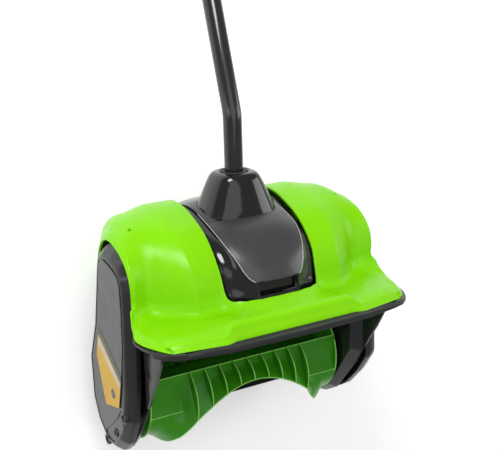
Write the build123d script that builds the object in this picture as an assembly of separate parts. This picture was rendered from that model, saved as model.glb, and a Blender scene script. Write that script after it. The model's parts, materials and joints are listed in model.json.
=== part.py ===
from build123d import *
import math
import os

# Cordless snow shovel. Every piece is drawn in the head frame, in millimetres:
# origin on the rotor axis, X to the right along that axis, Y to the back, Z up along the
# straight part of the lower tube. main() then lays the whole tool on its back.

# ---------------------------------------------------------------- driving dimensions
ROTOR_HALF = 150.0          # half of the 12 inch clearing width
ROTOR_R = 90.5              # paddle tip radius
DISC_R = 69.0               # rotor end disc radius
PADDLE_T = 2.6              # wall of the rotor's paddles
PADDLE_R = 73.0             # radius of a paddle's straight rear edge
PADDLE_START = 27.5         # its angle above the front, degrees
PADDLE_TIP = 6.0            # angle of the tip in the middle of the rotor
SCOOP_X0 = 87.5             # the end scoops run outwards from here
SCOOP_DEEP_X = 103.0        # and are fully hollow from here
RIB_PITCH = 21.875
RIB_T = 2.2
SCOOP_HOLLOW = [(14, 66), (2, 62), (-9, 63), (-17, 69)]  # angle and radius down to the crease
# Lower edge of a scoop: distance from the middle, angle, radius.
SCOOP_TIP = [(87.5, -19.3, 90.3), (97.5, -30.5, 89), (108, -39.5, 89), (113.5, -45, 87.2),
             (118.5, -50.5, 85.3), (123.5, -56, 81.2), (128, -61, 75.6), (133, -62, 71),
             (140, -56, 68.5), (148, -50, 66)]
HUB_R = 15.0                # rotor hub outside radius
AXLE_R = 5.0                # steel rotor axle
BEARING_R = 13.0            # rotor bearing outside radius
TUNNEL_R = 96.0             # inside radius of the rotor tunnel
TUNNEL_START = 82.5         # the tunnel's arc begins over the rotor, degrees above the back
TUNNEL_END = -50.0          # and ends under the rotor's back
SHEET = 3.0                 # wall of the moulded shells
PLATE_X = 155.0             # inner face of the side plates
FLANGE_X = 166.0            # inner face of the side plates' front web
PLATE_T = 3.0               # side plate thickness
COVER_FACE_X = 188.5        # outer face of the side covers
PANEL_T = 1.5               # inset panel thickness
LABEL_T = 0.4               # label plate thickness
TUBE_R = 12.5               # 25 mm tube
TUBE_BORE_R = 11.0          # inside radius of the tube
TUBE_Y = -46.0              # lower tube axis
CABLE_Z = 122.5             # power cable where it enters the tube socket
CABLE_R = 3.2
TUBE_FOOT_Z = 134.0         # lower end of the tube in its socket
BEND_Z = 372.0              # height of the bend
BEND_R = 60.0               # radius of the bend
LEAN = 18.0                 # the upper tube leans back, degrees
RIM_Z = 120.0               # lower edge of the deck's front rim
SCRAPER_R = 99.3            # distance of the scraper blade's inner face from the rotor axis
SCRAPER_T = 3.5
SCRAPER_WIDTH = 22.0
SCRAPER_ANGLE = -47.5       # middle of the blade, degrees above the back
SCRAPER_SCREW_X = (-110, 0, 110)
SCREW_HOLE_R = 2.2
REST_TILT = 82.0            # the tool lies on its back, degrees
REST_R = 102.5              # distance from the rotor axis to the surface it lies on
GAP = 0.3                   # clearance round sliding and turning pieces

COUPLER_S = 240.0           # lower end of the coupler, along the upper tube from the bend
COUPLER_LENGTH = 80.0
COUPLER_KNOB_Y = -35.0
TUBE_JOINT_S = 280.0        # lower tube ends and upper tube starts here
ASSIST_S = 400.0            # middle of the assist handle clamp
UPPER_END_S = 575.0         # upper end of the upper tube
GRIP_START_S = 520.0        # lower end of the rear handle
DOCK_S = 735.0              # upper face of the rear handle, where the dock sits
BATTERY_S = 741.4           # lower face of the battery
BATTERY_END_S = 806.0       # upper end of the battery

MOTOR_Y = -30.0             # motor axis
MOTOR_Z = 160.0
MOTOR_R = 36.0
ROTOR_PULLEY_R = 30.0
MOTOR_PULLEY_R = 10.0
BELT_T = 3.0
BELT_X0 = -180.0
BELT_X1 = -166.0

# ---------------------------------------------------------------- outlines, (Y, Z) points
# Hump of the top cover at three stations, from its rear edge over the top to its front foot.
HUMP_MID = [(74, 150), (60, 212), (12, 254), (-50, 250), (-107, 220), (-131, 186), (-138, 140)]
HUMP_SHOULDER = [(62, 150), (48, 207), (10, 243), (-48, 244), (-88, 216), (-100, 176), (-103, 140)]
HUMP_END = [(10, 150), (-2, 192), (-20, 226), (-58, 230), (-97, 212), (-110, 178), (-108, 140)]
HUMP_STATIONS = [(-181, HUMP_END), (-155, HUMP_SHOULDER), (-108, HUMP_MID),
                 (108, HUMP_MID), (155, HUMP_SHOULDER), (181, HUMP_END)]
HUMP_CENTRE = (-35, 120)

# Lip of the top cover: X, then front top point and front bottom point.
LIP_STATIONS = [(84.5, (-190, 147.5), (-200, 127.5)), (101, (-198, 135.5), (-204, 127.5)),
                (170, (-184, 133.5), (-190.5, 127.5)), (183, (-168, 133.5), (-172, 127.5)),
                (190, (-150, 133.5), (-153, 127.5)), (193, (-136, 133.5), (-138, 127.5))]
# Plan of the air beside the lip's rear corner, (X, Y).
LIP_CORNER = [(181.5, -60), (182.6, -112), (185.5, -118), (189.4, -127), (192.7, -138),
              (200, -138), (200, -60)]
# Plan of the deck's right half, from its front centre round to its rear corner, (X, Y).
DECK = [(0, -214), (100, -212), (150, -203), (166, -198), (177, -190), (185.5, -175), (191, -157),
        (192.5, -140), (190, -127), (185.5, -114)]
LIP_REAR_Y = -92.0
LIP_REAR_Z = 142.5
LIP_BOTTOM_Z = 127.5

# Motor cover: centre line and side line, from the rear over the top to its front foot.
MOTOR_MID = [(38, 236), (0, 252), (-46, 254), (-96, 243), (-130, 224), (-151, 195), (-157, 159)]
MOTOR_SIDE = [(37, 230), (0, 246), (-46, 243), (-88, 231), (-120, 214), (-135, 190), (-137, 159)]
MOTOR_EDGE = [(34, 214), (0, 230), (-42, 228), (-78, 217), (-107, 201), (-124, 182), (-129, 159)]
MOTOR_STATIONS = [(-67, MOTOR_EDGE), (-57, MOTOR_SIDE), (-34, MOTOR_MID),
                  (34, MOTOR_MID), (57, MOTOR_SIDE), (67, MOTOR_EDGE)]
MOTOR_CENTRE = (-50, 150)

# Side cover outline at its seat, shoulder and face, round from the top.
COVER_LOWER = [(-100, 108), (-92, 36), (-82, -9), (-60, -50), (-38, -70), (-5, -76),
               (30, -52), (47, -21), (48, 48), (20, 109)]
COVER_SEAT = ([(-32, 218), (-54, 216), (-78, 201), (-90, 184), (-94, 165), (-96, 145)]
              + COVER_LOWER + [(-10, 206)])
COVER_SHOULDER = ([(-32, 224), (-58, 223), (-84, 214), (-100, 200), (-105, 177), (-104, 150)]
                  + COVER_LOWER + [(-10, 212)])
COVER_FACE = [(-34, 211), (-58, 209), (-80, 203), (-91, 193), (-95, 176), (-94, 150), (-90, 108),
              (-81, 38), (-72, -4), (-53, -42), (-35, -60), (-8, -65), (21, -44), (36, -17),
              (37, 44), (10, 103), (-18, 200)]
COVER_CENTRE = (-35, 80)
# The right-hand cover reaches further to the front below the lip.
RIGHT_LOWER = [(-103, 126), (-112, 112), (-113, 12), (-90, -21), (-64, -49), (-36, -67), (-5, -76),
               (30, -52), (47, -21), (48, 48), (20, 109)]
RIGHT_SEAT = [(-32, 218), (-54, 216), (-78, 201), (-90, 184), (-94, 165)] + RIGHT_LOWER + [(-10, 206)]
RIGHT_SHOULDER = ([(-32, 224), (-58, 223), (-84, 214), (-100, 200), (-105, 177)]
                  + RIGHT_LOWER + [(-10, 212)])
RIGHT_FACE = [(-34, 213), (-58, 211), (-80, 205), (-92, 194), (-97, 175), (-98, 128), (-107, 106),
              (-108, 14), (-86, -17), (-61, -44), (-35, -61), (-7, -68), (24, -47), (39, -19), (40, 45),
              (13, 104), (-16, 203)]
COVER_SCREWS = [(-71, -4), (-4, -65)]
COVER_SCREW_X = 180.0
COVER_POST_R = 6.6
TOP_SCREW = (156.0, -54.0, 231.0)  # seat of the top cover's right-hand screw head
PANEL = [(-36, 207), (-62, 203), (-83, 196), (-91, 184), (-92, 150), (-88, 98), (-76, 47),
         (-62, 5), (-12, -8), (9, 58), (-2, 100), (-20, 194)]
LABEL = [(-3, 92), (-74, 47), (-62, 7), (-14, -6), (8, 58)]

# Side plate: round from the front of the deck down and back up, inner sheet then joggle.
PLATE_REAR = [(60, -79), (84, -52), (97, -20), (98, 20), (88, 60), (60, 120), (52, 160), (38, 196),
              (5, 222), (-44, 223), (-78, 201), (-90, 174), (-92, 128)]
PLATE_SHEET = [(-92, 112), (-93, 65), (-93, 20), (-65, -22), (-41, -56), (-12, -76)] + PLATE_REAR
PLATE_JOGGLE = [(-108, 118), (-109, 74), (-109, 20), (-94, -3), (-46, -62), (-16, -80)] + PLATE_REAR
PLATE_WEB = [(-160, 119), (-160, 101), (-141, 69), (-127, 50), (-108, 20), (-106, 22),
             (-107, 74), (-106, 118)]

# Rear handle in the upper tube's frame: (Y to the underside, S along the tube).
HANDLE = [(-19, 520), (-19, 585), (-21, 600), (-21, 695), (-34, 712), (-34, 735), (73, 735),
          (81.8, 685), (76, 668), (54, 560), (38, 534), (19, 520)]
FINGER_GAP = [(18, 592), (17, 690), (56, 692), (62, 684), (44, 600), (34, 588)]
HANDLE_HALF_X = 17.0
HANDLE_SCREWS = [(33, 548), (68, 704), (-14, 716)]


# ---------------------------------------------------------------- helpers
def outline(points, radius=0.0):
    """Closed polygon as a face, with all its corners rounded."""
    face = make_face(Polyline(*points, close=True))
    return fillet(face.vertices(), radius) if radius else face


def slab(face, x0, x1):
    """A (Y, Z) face given thickness along X."""
    return extrude(Plane.YZ.offset(x0) * face, x1 - x0)


def rod(x0, x1, y, z, radius):
    """Round bar along X."""
    bar = Cylinder(radius, x1 - x0, align=(Align.CENTER, Align.CENTER, Align.MIN))
    return Pos(x0, y, z) * Rot(0, 90, 0) * bar


def post(x, y, z0, z1, radius):
    """Round bar along Z."""
    return Pos(x, y, z0) * Cylinder(radius, z1 - z0, align=(Align.CENTER, Align.CENTER, Align.MIN))


def block(x0, x1, y0, y1, z0, z1):
    """Box between two corners."""
    return Pos((x0 + x1) / 2, (y0 + y1) / 2, (z0 + z1) / 2) * Box(x1 - x0, y1 - y0, z1 - z0)


def inset(points, centre, depth):
    """Move every point of an outline towards a centre."""
    moved = []
    for y, z in points:
        length = math.hypot(centre[0] - y, centre[1] - z)
        moved.append((y + (centre[0] - y) * depth / length, z + (centre[1] - z) * depth / length))
    return moved


def arch(points):
    """Smooth curve through the points, closed by a straight foot."""
    curve = Spline(*points)
    return make_face(Curve() + [curve, Line(curve @ 1, curve @ 0)])


def loft_along_x(stations, make):
    """Ruled body through (X, points) stations."""
    return loft([Plane.YZ.offset(x) * make(points) for x, points in stations], ruled=True)


def on_leg(shape):
    """From the upper tube's own frame, with its Z along the tube from the bend, to the head frame."""
    return Pos(0, TUBE_Y, BEND_Z) * Rot(-LEAN, 0, 0) * shape


def both_sides(shape):
    return shape + mirror(shape, Plane.YZ)


def screw(radius, head_r, length):
    """Pan head screw along -Z, its head seat at the origin."""
    upwards = (Align.CENTER, Align.CENTER, Align.MIN)
    downwards = (Align.CENTER, Align.CENTER, Align.MAX)
    head = Cylinder(head_r, head_r * 0.6, align=upwards)
    shank = Cylinder(radius, length, align=downwards)
    socket = Pos(0, 0, head_r * 0.35) * Cylinder(head_r * 0.45, head_r, align=upwards)
    return head + shank - socket


# ---------------------------------------------------------------- head shells
def hump(depth):
    stations = []
    for x, points in HUMP_STATIONS:
        reach = 2.0 if depth and abs(x) > 180 else 0.0
        stations.append((x + math.copysign(reach, x), inset(points, HUMP_CENTRE, depth) if depth else points))
    return loft_along_x(stations, arch)


def lip(depth):
    stations = []
    for x, top, bottom in LIP_STATIONS:
        rear_z = LIP_REAR_Z if x < 180 else 136.0
        floor_z = LIP_BOTTOM_Z - depth * 2
        rear_y = LIP_REAR_Y + depth * 4
        points = [(rear_y, rear_z - depth), (top[0] + depth, top[1] - depth),
                  (bottom[0] + depth, floor_z), (rear_y, floor_z)]
        stations.append((x - depth * 0.6 if x > 180 else x, points))
    left = [(-x, points) for x, points in reversed(stations)]
    return loft_along_x(left + stations, outline)


def cover_clearance():
    """Space kept free for the two side covers."""
    grown = inset(COVER_SHOULDER, COVER_CENTRE, -1.2)
    return both_sides(slab(outline(grown), 150, 200))


def top_cover():
    skin = hump(0) + lip(0)
    hollow = hump(SHEET) + lip(SHEET)
    hollow += Pos(0, 0, -12) * hump(SHEET)
    window = Plane.XZ * outline([(-70, 300), (-70, 157), (70, 157), (70, 300)], 12)
    window = Pos(0, 45, 0) * extrude(window, 220)
    shell = skin - hollow - window - cover_clearance()
    corner = Pos(0, 0, 120) * extrude(make_face(Polyline(*LIP_CORNER, close=True)), 28)
    shell -= both_sides(corner)
    x, y, z = TOP_SCREW
    for side in (-1, 1):
        shell -= post(side * x, y, z, z + 25, SCREW_HOLE_R)
    return shell


def top_cover_screws():
    x, y, z = TOP_SCREW
    return Compound([Pos(side * x, y, z) * screw(1.9, 3.6, 12) for side in (-1, 1)])


def motor_cover():
    outer = loft_along_x(MOTOR_STATIONS, arch)
    inner_stations = []
    for x, points in MOTOR_STATIONS:
        end_wall = math.copysign(SHEET, x) if abs(x) > 60 else 0.0
        inner_stations.append((x - end_wall, inset(points, MOTOR_CENTRE, SHEET)))
    inner = loft_along_x(inner_stations, arch)
    collar_out = [(0, 232), (56, 232), (52, 246), (35, 284), (31, 291), (24, 295), (0, 295)]
    collar_in = [(0, 200), (51, 228), (48, 244), (32, 282), (28, 287), (19, 288), (0, 288)]
    axis = Pos(0, TUBE_Y, 0)
    cone = axis * revolve(Plane.XZ * make_face(Polyline(*collar_out, close=True)), Axis.Z)
    hollow = axis * revolve(Plane.XZ * make_face(Polyline(*collar_in, close=True)), Axis.Z)
    cone -= block(-80, 80, -200, 100, 200, 236)
    body = outer + cone - inner - Pos(0, 0, -6) * inner - hollow
    body -= post(0, TUBE_Y, 270, 300, 19.3)
    opening = slab(arch(inset(MOTOR_EDGE, MOTOR_CENTRE, 22)), -80, 80)
    body -= opening + Pos(0, 0, -20) * opening + Pos(0, 0, -40) * opening
    body -= block(-27, 27, -175, -140, 162, 176)
    return body


def tube_seal():
    ring = post(0, TUBE_Y, 286, 293, 19.0) + post(0, TUBE_Y, 293, 296, 16.5)
    return ring - post(0, TUBE_Y, 280, 300, TUBE_R + 0.05)


def tunnel_line(radius, lift):
    """Tunnel wall: round the back of the rotor, then straight up to the front of the deck."""
    start = math.radians(TUNNEL_END)
    end = math.radians(TUNNEL_START)
    middle = (start + end) / 2
    points = [(radius * math.cos(a), radius * math.sin(a)) for a in (start, middle, end)]
    front = (-207.0, 124.0 + lift)
    return points, front


def lower_housing():
    inner, inner_front = tunnel_line(TUNNEL_R, 0.0)
    outer, outer_front = tunnel_line(TUNNEL_R + SHEET, SHEET)
    edges = [ThreePointArc(*inner), Line(inner[2], inner_front), Line(inner_front, outer_front),
             Line(outer_front, outer[2]), ThreePointArc(*reversed(outer)), Line(outer[0], inner[0])]
    wall = make_face(Curve() + edges)
    body = slab(wall, -(PLATE_X - 1), PLATE_X - 1)
    left = [(-x, y) for x, y in reversed(DECK[1:])]
    plan = make_face(Polyline(*DECK, *left, close=True))
    plate = Pos(0, 0, 124.2) * extrude(plan, SHEET)
    rim_inner = Pos(0, SHEET, RIM_Z - 4) * extrude(plan, 12)
    rim = Pos(0, 0, RIM_Z) * extrude(plan, 5) - rim_inner - block(-200, 200, -175, -90, 100, 130)
    plate -= block(-(PLATE_X - 1), PLATE_X - 1, -200, -100, 120, 130)
    ribs = Part()
    for x in (-120, -60, 60, 120):
        ribs += slab(outline([(-60, 107.5), (-180, 123.5), (-180, 127.2), (-60, 120)]), x - 1.5, x + 1.5)
    boss = block(-26, 26, -70, -22, 104, 118)
    cradle = Part()
    for x in (-128, -58):
        cradle += block(x - 3, x + 3, MOTOR_Y - 34, MOTOR_Y + 34, 100, 138)
    cradle -= rod(-140, -40, MOTOR_Y, MOTOR_Z, MOTOR_R + 0.2)
    tray = Part()
    for x in (52, 128):
        tray += block(x - 3, x + 3, -60, 0, 98, 132) - rod(x - 5, x + 5, TUBE_Y, CABLE_Z, 4.5)
    for x in SCRAPER_SCREW_X:
        body -= on_scraper(x, 0) * Cylinder(1.92, 12)
    cavity = rod(-160, 160, 0, 0, TUNNEL_R)
    below = slab(outline([inner[2], inner_front, (-207, 60), (inner[2][0], 60)]), -160, 160)
    return body + plate + rim + (ribs + boss + cradle + tray - cavity - below)


def rear_cover():
    tilt = math.radians(90 - REST_TILT)

    def on_pad(along, out):
        y = (REST_R + out) * math.cos(tilt) + along * math.sin(tilt)
        z = -(REST_R + out) * math.sin(tilt) + along * math.cos(tilt)
        return (y, z)
    outer = [on_pad(-42, -6), on_pad(-36, 0), on_pad(38, 0), (106, 66), (93, 116), (73.5, 149)]
    inner = [(70.5, 148.2), (90.2, 114.6), (103, 65.2), on_pad(37, -SHEET), on_pad(-36, -SHEET),
             on_pad(-40, -6)]
    shell = slab(outline(outer + inner), -150, 150)
    end_wall = slab(outline(outer + [(66, 146), (82, 70), (99.5, 30), (99.5, -12)]), 147, 150)
    shell += both_sides(end_wall)
    return shell - rod(-160, 160, 0, 0, TUNNEL_R + SHEET + 0.2)


def side_plate():
    pocket = loft([Plane.YZ.offset(PLATE_X) * outline(PLATE_SHEET),
                   Plane.YZ.offset(FLANGE_X) * outline(PLATE_JOGGLE)], ruled=True)
    plate = pocket - Pos(PLATE_T, 0, 0) * pocket
    plate += slab(outline(PLATE_WEB), FLANGE_X, FLANGE_X + PLATE_T)
    return plate


def side_plate_left():
    plate = mirror(side_plate(), Plane.YZ)
    plate += rod(-164, -158, 0, 0, BEARING_R + 4)
    plate -= rod(-162, -150, 0, 0, BEARING_R) + rod(-170, -150, 0, 0, AXLE_R + 3)
    return plate - rod(-170, -150, MOTOR_Y, MOTOR_Z, 11)


def side_plate_right():
    plate = side_plate() + rod(158, 164, 0, 0, BEARING_R + 4)
    return plate - rod(150, 162, 0, 0, BEARING_R) - rod(150, 170, 0, 0, AXLE_R + 3)


def side_cover(seat, shoulder, face):
    seat_x = PLATE_X + PLATE_T + 0.4
    outer = loft_along_x([(seat_x, seat), (177, shoulder), (COVER_FACE_X, face)], outline)
    inner = loft_along_x([(seat_x - 1, inset(seat, COVER_CENTRE, SHEET)),
                          (175, inset(shoulder, COVER_CENTRE, SHEET)),
                          (COVER_FACE_X - SHEET, inset(face, COVER_CENTRE, SHEET))], outline)
    shell = outer - inner
    front = outline([(-170, 130), (-170, -90), (30, -90), (30, -60), (-60, 0), (-84, 60), (-84, 130)])
    shell -= slab(front, 150, FLANGE_X + PLATE_T + 0.3)
    for y, z in COVER_SCREWS:
        shell += rod(FLANGE_X + PLATE_T + 0.4, COVER_FACE_X, y, z, COVER_POST_R) & outer
        shell -= rod(COVER_SCREW_X, 200, y, z, 5.2) + rod(150, COVER_SCREW_X, y, z, 2.2)
    return shell


def belt_cover():
    return mirror(side_cover(COVER_SEAT, COVER_SHOULDER, COVER_FACE), Plane.YZ)


def side_cover_right():
    return side_cover(RIGHT_SEAT, RIGHT_SHOULDER, RIGHT_FACE)


def side_panel():
    return slab(outline(PANEL, 4), -(COVER_FACE_X + PANEL_T), -COVER_FACE_X)


def label_plate():
    face_x = COVER_FACE_X + PANEL_T
    return slab(outline(LABEL, 3), -(face_x + LABEL_T), -face_x)


def side_screws(side):
    pieces = []
    for y, z in COVER_SCREWS:
        pieces.append(Pos(side * COVER_SCREW_X, y, z) * Rot(0, side * 90, 0) * screw(2.0, 3.8, 10))
    return Compound(pieces)


def on_scraper(x, out):
    """Place on the scraper blade, Z pointing out of the tunnel."""
    return Rot(SCRAPER_ANGLE - 90, 0, 0) * Pos(x, 0, SCRAPER_R + out)


def scraper_blade():
    """Flat wear strip under the back edge of the tunnel."""
    blade = on_scraper(0, SCRAPER_T / 2) * Box(2 * ROTOR_HALF, SCRAPER_WIDTH, SCRAPER_T)
    for x in SCRAPER_SCREW_X:
        blade -= on_scraper(x, 0) * Cylinder(SCREW_HOLE_R, 30)
    return blade


def scraper_screws():
    return Compound([on_scraper(x, SCRAPER_T) * screw(1.9, 3.4, 6.2) for x in SCRAPER_SCREW_X])


# ---------------------------------------------------------------- rotor and drive
def around(radius, angle):
    """(Y, Z) of a point on the rotor, the angle counted up from the front."""
    return (-radius * math.cos(math.radians(angle)), radius * math.sin(math.radians(angle)))


def paddle_edge(x):
    """Angle of the paddle's tip at a station, sweeping back towards the ends."""
    return PADDLE_TIP - 0.0033 * x * x


def paddle_radius(angle, tip_angle):
    """Radius of the paddle's hollow face at an angle."""
    share = (angle - PADDLE_START) / (tip_angle - PADDLE_START)
    return PADDLE_R + (ROTOR_R - PADDLE_R) * share ** 2 - 5 * math.sin(math.pi * share)


def paddle_line(x, thickness):
    """Paddle section: from the straight rear edge, hollow, out to the tip."""
    tip_angle = paddle_edge(x)
    angles = [PADDLE_START + (tip_angle - PADDLE_START) * step / 4 for step in range(5)]
    return [around(paddle_radius(angle, tip_angle) - thickness, angle) for angle in angles]


def scoop_line(x, thickness):
    """Section of the scoop at each end of a paddle: a hollow, a crease, then a rounded lobe."""
    reach = min(1.0, (abs(x) - SCOOP_X0) / (SCOOP_DEEP_X - SCOOP_X0))
    depth = reach * reach * (3 - 2 * reach)
    tip_angle, tip_radius = [(angle, radius) for at, angle, radius in SCOOP_TIP if at == abs(x)][0]
    line = [(PADDLE_START, PADDLE_R)]
    for angle, radius in SCOOP_HOLLOW:
        line.append((angle, paddle_radius(angle, paddle_edge(SCOOP_X0)) * (1 - depth) + radius * depth))
    crease_angle, crease_radius = line[-1]
    for share in (0.35, 0.7):
        bulge = 2.5 * depth * math.sin(math.pi * share)
        line.append((crease_angle + (tip_angle - crease_angle) * share,
                     crease_radius + (tip_radius - crease_radius) * share + bulge))
    line.append((tip_angle, tip_radius))
    return [around(radius - thickness, angle) for angle, radius in line]


def sheet_section(line, x):
    outer = Polyline(*line(x, 0))
    inner = Polyline(*reversed(line(x, PADDLE_T)))
    return make_face(Curve() + [outer, Line(outer @ 1, inner @ 0), inner, Line(inner @ 1, outer @ 0)])


def rotor_fin(x, thickness):
    """Rib that joins a paddle to the hub."""
    tip_angle = paddle_edge(x)
    tip = around(ROTOR_R - 0.6, tip_angle + 0.6)
    root = around(PADDLE_R, PADDLE_START)
    middle = (tip_angle + PADDLE_START) / 2
    edge = ThreePointArc(root, around((PADDLE_R + ROTOR_R) / 2 + 4, middle), tip)
    foot = around(HUB_R - 2, middle - 28)
    heel = around(HUB_R - 2, middle + 28)
    face = make_face(Curve() + [edge, Line(tip, foot), Line(foot, heel), Line(heel, root)])
    return slab(face, x - thickness / 2, x + thickness / 2)


def rotor():
    stations = [-SCOOP_X0, -66, -44, -22, 0, 22, 44, 66, SCOOP_X0]
    paddle = loft([Plane.YZ.offset(x) * sheet_section(paddle_line, x) for x in stations], ruled=True)
    for side in (-1, 1):
        ends = sorted(side * at for at, _, _ in SCOOP_TIP)
        paddle += loft([Plane.YZ.offset(x) * sheet_section(scoop_line, x) for x in ends], ruled=True)
    for index in range(9):
        paddle += rotor_fin((index - 4) * RIB_PITCH, RIB_T)
    drum = rod(-ROTOR_HALF, ROTOR_HALF, 0, 0, HUB_R)
    drum += both_sides(rod(146, ROTOR_HALF, 0, 0, DISC_R))
    body = drum + paddle + Rot(180, 0, 0) * paddle
    return body - rod(-160, 160, 0, 0, AXLE_R + 0.02)


def rotor_axle():
    return rod(-184, 170, 0, 0, AXLE_R)


def rotor_bearing(side):
    low, high = sorted((side * 152.5, side * 161.5))
    return rod(low, high, 0, 0, BEARING_R - 0.02) - rod(low - 1, high + 1, 0, 0, AXLE_R + 0.05)


def axle_nut():
    nut = extrude(Plane.YZ.offset(165.7) * RegularPolygon(8, 6), 4.5)
    washer = rod(164.1, 165.6, 0, 0, 10)
    return Compound([nut - rod(160, 170, 0, 0, AXLE_R + 0.02), washer - rod(160, 170, 0, 0, AXLE_R + 0.02)])


def pulley(x0, x1, y, z, radius, bore):
    wheel = rod(x0, x1, y, z, radius)
    wheel += rod(x0, x0 + 1.5, y, z, radius + 2.6) + rod(x1 - 1.5, x1, y, z, radius + 2.6)
    return wheel - rod(x0 - 1, x1 + 1, y, z, bore)


def rotor_pulley():
    wheel = pulley(BELT_X0 - 2, BELT_X1 + 2, 0, 0, ROTOR_PULLEY_R, AXLE_R + 0.02)
    for step in range(6):
        angle = math.radians(step * 60)
        wheel -= rod(-190, -150, 18 * math.cos(angle), 18 * math.sin(angle), 5)
    return wheel


def motor_pulley():
    return pulley(BELT_X0 - 2, BELT_X1 + 2, MOTOR_Y, MOTOR_Z, MOTOR_PULLEY_R, 4.02)


def belt_loop(extra):
    """Tangent loop round both pulleys, as a face."""
    big = ROTOR_PULLEY_R + GAP + extra
    small = MOTOR_PULLEY_R + GAP + extra
    distance = math.hypot(MOTOR_Y, MOTOR_Z)
    aim = math.atan2(MOTOR_Z, MOTOR_Y)
    spread = math.acos((big - small) / distance)

    def rim(radius, angle, y, z):
        return (y + radius * math.cos(angle), z + radius * math.sin(angle))
    a0 = rim(big, aim + spread, 0, 0)
    a1 = rim(big, aim + math.pi, 0, 0)
    a2 = rim(big, aim - spread, 0, 0)
    b0 = rim(small, aim - spread, MOTOR_Y, MOTOR_Z)
    b1 = rim(small, aim, MOTOR_Y, MOTOR_Z)
    b2 = rim(small, aim + spread, MOTOR_Y, MOTOR_Z)
    edges = [ThreePointArc(a0, a1, a2), Line(a2, b0), ThreePointArc(b0, b1, b2), Line(b2, a0)]
    return make_face(Curve() + edges)


def drive_belt():
    return slab(belt_loop(BELT_T) - belt_loop(0), BELT_X0, BELT_X1)


def motor_can():
    can = rod(-146, -48, MOTOR_Y, MOTOR_Z, MOTOR_R) - rod(-143, -51, MOTOR_Y, MOTOR_Z, MOTOR_R - 3)
    can += rod(-151, -146, MOTOR_Y, MOTOR_Z, 14) + rod(-48, -45, MOTOR_Y, MOTOR_Z, 12)
    can -= rod(-160, -40, MOTOR_Y, MOTOR_Z, 4.06)
    for step in range(6):
        angle = math.radians(step * 60 + 30)
        can -= rod(-60, -40, MOTOR_Y + 24 * math.cos(angle), MOTOR_Z + 24 * math.sin(angle), 4)
    return can


def motor_armature():
    core = rod(-128, -74, MOTOR_Y, MOTOR_Z, 24)
    for step in range(12):
        angle = math.radians(step * 30)
        core -= rod(-130, -70, MOTOR_Y + 24 * math.cos(angle), MOTOR_Z + 24 * math.sin(angle), 2.5)
    commutator = rod(-72, -58, MOTOR_Y, MOTOR_Z, 12) + rod(-74, -72, MOTOR_Y, MOTOR_Z, 9)
    return core + commutator - rod(-140, -50, MOTOR_Y, MOTOR_Z, 4.02)


def motor_shaft():
    return rod(-183, -28, MOTOR_Y, MOTOR_Z, 4.0)


def motor_fan():
    hub = rod(-42, -30, MOTOR_Y, MOTOR_Z, 8) + rod(-42, -40.5, MOTOR_Y, MOTOR_Z, 32)
    for step in range(8):
        blade = block(-41, -31, -0.8, 0.8, 7, 31.5)
        hub += Pos(0, MOTOR_Y, MOTOR_Z) * Rot(step * 45, 0, 0) * blade
    return hub - rod(-60, -20, MOTOR_Y, MOTOR_Z, 4.02)


def motor_mount():
    ring = rod(-154.6, -151.2, MOTOR_Y, MOTOR_Z, 30) - rod(-160, -150, MOTOR_Y, MOTOR_Z, 11)
    for step in range(3):
        angle = math.radians(step * 120 + 90)
        ring -= rod(-160, -150, MOTOR_Y + 22 * math.cos(angle), MOTOR_Z + 22 * math.sin(angle), 2.2)
    return ring


def control_board():
    board = block(45, 135, -60, 0, 132.2, 134)
    board += block(60, 100, -44, -18, 134, 148) + block(106, 122, -50, -30, 134, 154)
    for step in range(3):
        board += post(54 + step * 12, -10, 134, 146, 4.5)
    return board


def tube_socket():
    body = block(-20, 20, -70, -22, 118.2, 200)
    body = fillet(body.edges().filter_by(Axis.Z), 9)
    body -= post(0, TUBE_Y, TUBE_FOOT_Z, 210, TUBE_R + 0.05)
    body -= post(0, TUBE_Y, 110, 210, 8)
    body -= block(0, 30, TUBE_Y - 5, TUBE_Y + 5, 110, TUBE_FOOT_Z - 1)
    for z in (160, 185):
        body -= Pos(0, -65.5, z) * Rot(0, 90, 0) * Cylinder(2.1, 60)
    return body


def socket_bolts():
    pieces = []
    for z in (160, 185):
        pieces.append(Pos(20, -65.5, z) * Rot(0, 90, 0) * screw(2.0, 4.0, 38))
    return Compound(pieces)


# ---------------------------------------------------------------- tube and assist handle
def leg_point(s):
    lean = math.radians(LEAN)
    return (0, TUBE_Y + s * math.sin(lean), BEND_Z + s * math.cos(lean))


def swept(points, radius, bend):
    path = FilletPolyline(*points, radius=bend)
    section = Plane(origin=path @ 0, z_dir=path % 0) * Circle(radius)
    return sweep(section, path=path)


def lower_tube():
    route = [(0, TUBE_Y, TUBE_FOOT_Z), (0, TUBE_Y, BEND_Z), leg_point(TUBE_JOINT_S)]
    return swept(route, TUBE_R, BEND_R) - swept(route, TUBE_BORE_R, BEND_R)


def upper_tube():
    tube = post(0, 0, TUBE_JOINT_S + 0.2, UPPER_END_S, TUBE_R) - post(0, 0, 0, 700, TUBE_BORE_R)
    return on_leg(tube)


def tube_coupler():
    end = COUPLER_S + COUPLER_LENGTH
    sleeve = post(0, 0, COUPLER_S, end, 17) + post(0, 0, COUPLER_S, COUPLER_S + 6, 18.5)
    sleeve += post(0, 0, end - 6, end, 18.5)
    sleeve += block(-9, 9, COUPLER_KNOB_Y - 9, -10, COUPLER_S + 28, COUPLER_S + 52)
    sleeve -= post(0, 0, COUPLER_S - 1, end + 1, TUBE_R + 0.05)
    sleeve -= block(-1.2, 1.2, -50, -10, COUPLER_S + 10, end + 1)
    sleeve -= rod(-20, 20, COUPLER_KNOB_Y, COUPLER_S + 40, 3.1)
    return on_leg(sleeve)


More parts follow.
